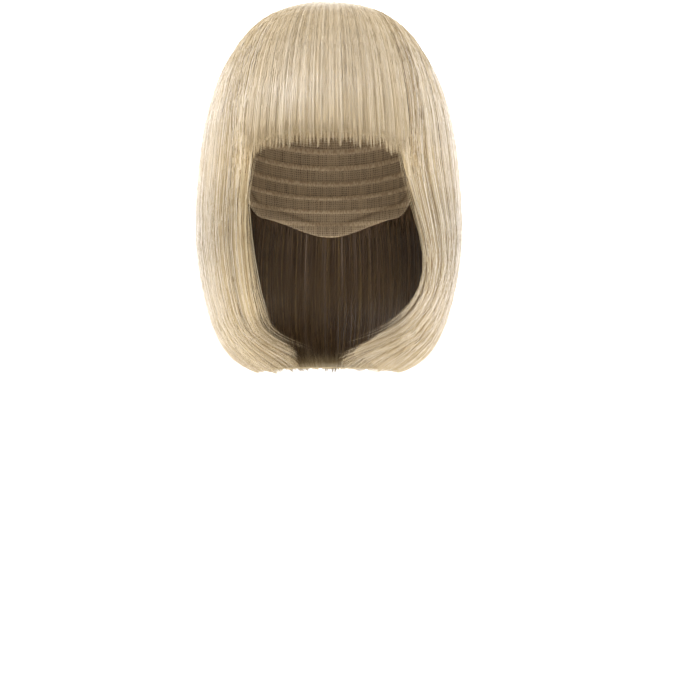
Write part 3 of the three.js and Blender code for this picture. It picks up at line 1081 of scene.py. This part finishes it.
def stage_profile():
    """Radius and height of the stage, from the floor's edge up to the wall's top."""
    profile = [(FLOOR_RADIUS, FLOOR)]
    for k in range(1, BEND_STEPS + 1):
        a = math.pi / 2 * k / BEND_STEPS
        profile.append((FLOOR_RADIUS + FLOOR_BEND * math.sin(a), FLOOR + FLOOR_BEND * (1 - math.cos(a))))
    profile.append((FLOOR_RADIUS + FLOOR_BEND, FLOOR + WALL_HEIGHT))
    return profile


def make_stage():
    """A pale round floor that sweeps up into a wall all round."""
    profile = stage_profile()
    turns = [math.tau * k / STAGE_COLUMNS for k in range(STAGE_COLUMNS)]
    vertices = [(r * math.cos(a), r * math.sin(a), z) for r, z in profile for a in turns]
    faces = [tuple(range(STAGE_COLUMNS))]
    for row in range(len(profile) - 1):
        low = row * STAGE_COLUMNS
        high = low + STAGE_COLUMNS
        for k in range(STAGE_COLUMNS):
            n = (k + 1) % STAGE_COLUMNS
            faces.append((low + k, high + k, high + n, low + n))
    mesh = bpy.data.meshes.new("sweep")
    mesh.from_pydata(vertices, [], faces)
    mesh.shade_smooth()
    mesh.materials.append(paper_material())
    sweep = bpy.data.objects.new("sweep", mesh)
    sweep.visible_diffuse = False
    sweep.visible_glossy = False
    bpy.context.scene.collection.objects.link(sweep)


GRAIN_SCALE = 3.0
PAPER_TONES = ((0.3, (0.88, 0.88, 0.88, 1.0)), (0.7, (0.9, 0.9, 0.9, 1.0)))
PAPER_ROUGHNESS = 0.9
PAPER_GLOW = 0.8


def paper_material():
    """Pale paper that glows a little, so that it stays white."""
    tree = Tree("pale_paper")
    grain = tree.add("TexNoise", {"Scale": GRAIN_SCALE}).outputs[0]
    return tree.finish(
        Base_Color=tree.ramp(grain, *PAPER_TONES),
        Roughness=PAPER_ROUGHNESS,
        Emission_Color=FULL_LIGHT,
        Emission_Strength=PAPER_GLOW,
    )


@dataclass
class Lamp:
    """A round lamp that points at the wig. Its place and size are in metres and its power in watts."""

    name: str
    place: tuple
    size: float
    power: float
    only_gloss: bool = False  # it only shows as gloss on the hair


LIGHT_AIM = (0.0, 0.0, -0.13)
GLOSS_LIGHT = (0.93, 0.955, 1.0)
WHITE_LIGHT = (1.0, 1.0, 1.0)
WORLD_LIGHT = 1.25
# Left and right are those of the camera here
LAMPS = (
    Lamp("key", (-0.7, -1.3, 0.95), 0.5, 4.5),
    Lamp("key_gloss", (-0.7, -1.3, 0.95), 0.75, 50.0, only_gloss=True),
    Lamp("fill_gloss", (1.0, -1.4, 0.5), 1.0, 12.0, only_gloss=True),
    Lamp("top", (-0.1, -0.6, 1.2), 1.0, 2.5),
    Lamp("top_gloss", (-0.1, -0.6, 1.2), 1.0, 32.0, only_gloss=True),
    Lamp("crown_gloss", (0.0, 0.1, 1.4), 1.6, 6.0, only_gloss=True),
    Lamp("under", (0.0, -0.55, -1.05), 0.8, 10.0),
    Lamp("under_gloss", (0.0, -0.55, -1.05), 0.8, 12.0, only_gloss=True),
    Lamp("back", (0.0, 1.7, 0.5), 2.2, 19.0),
    Lamp("side_left", (-1.6, 0.0, 0.1), 2.0, 10.0),
    Lamp("side_gloss_left", (-1.6, 0.0, 0.2), 2.2, 28.0, only_gloss=True),
    Lamp("rim_gloss_left", (-1.25, 0.75, 0.2), 1.6, 36.0, only_gloss=True),
    Lamp("side_right", (1.6, 0.0, 0.1), 2.0, 8.0),
    Lamp("side_gloss_right", (1.6, 0.0, 0.2), 2.2, 28.0, only_gloss=True),
    Lamp("rim_gloss_right", (1.25, 0.75, 0.2), 1.6, 36.0, only_gloss=True),
)


def area_light(lamp):
    light = bpy.data.lights.new(lamp.name, "AREA")
    light.shape = "DISK"
    light.size = lamp.size
    light.energy = lamp.power
    light.color = GLOSS_LIGHT if lamp.only_gloss else WHITE_LIGHT
    made = bpy.data.objects.new(lamp.name, light)
    made.location = lamp.place
    made.rotation_euler = (Vector(LIGHT_AIM) - Vector(lamp.place)).to_track_quat("-Z", "Y").to_euler()
    made.visible_camera = False
    made.visible_diffuse = not lamp.only_gloss
    bpy.context.scene.collection.objects.link(made)


def make_lights():
    """Even soft light from every side, and lamps that only show as gloss on the hair."""
    for lamp in LAMPS:
        area_light(lamp)
    world = bpy.data.worlds.new("studio")
    bpy.context.scene.world = world
    world.use_nodes = True
    sky = world.node_tree.nodes["Background"].inputs
    sky["Color"].default_value = FULL_LIGHT
    sky["Strength"].default_value = WORLD_LIGHT


def make_camera():
    """Level with the middle of the wig, and tilted down so that the wig is high in the frame."""
    distance = 1.4
    height = -0.140
    aim_height = -0.259
    frame_width = 0.56
    off_centre = 0.017
    camera = bpy.data.cameras.new("camera")
    eye = Vector((off_centre, -distance, height))
    aim = Vector((off_centre, 0.0, aim_height))
    camera.lens = camera.sensor_width * (aim - eye).length / frame_width
    made = bpy.data.objects.new("camera", camera)
    made.location = eye
    made.rotation_euler = (aim - eye).to_track_quat("-Z", "Y").to_euler()
    bpy.context.scene.collection.objects.link(made)
    bpy.context.scene.camera = made
    bpy.context.scene.view_settings.view_transform = "Standard"


make_camera()
make_lights()
make_stage()
STRANDS = strand_material()
BODY = body_material()
for field_name in FIELDS:
    make_field(field_name, STRANDS, BODY)
make_back_inside(STRANDS)
make_crown(STRANDS, BODY)
make_cap(cap_material())
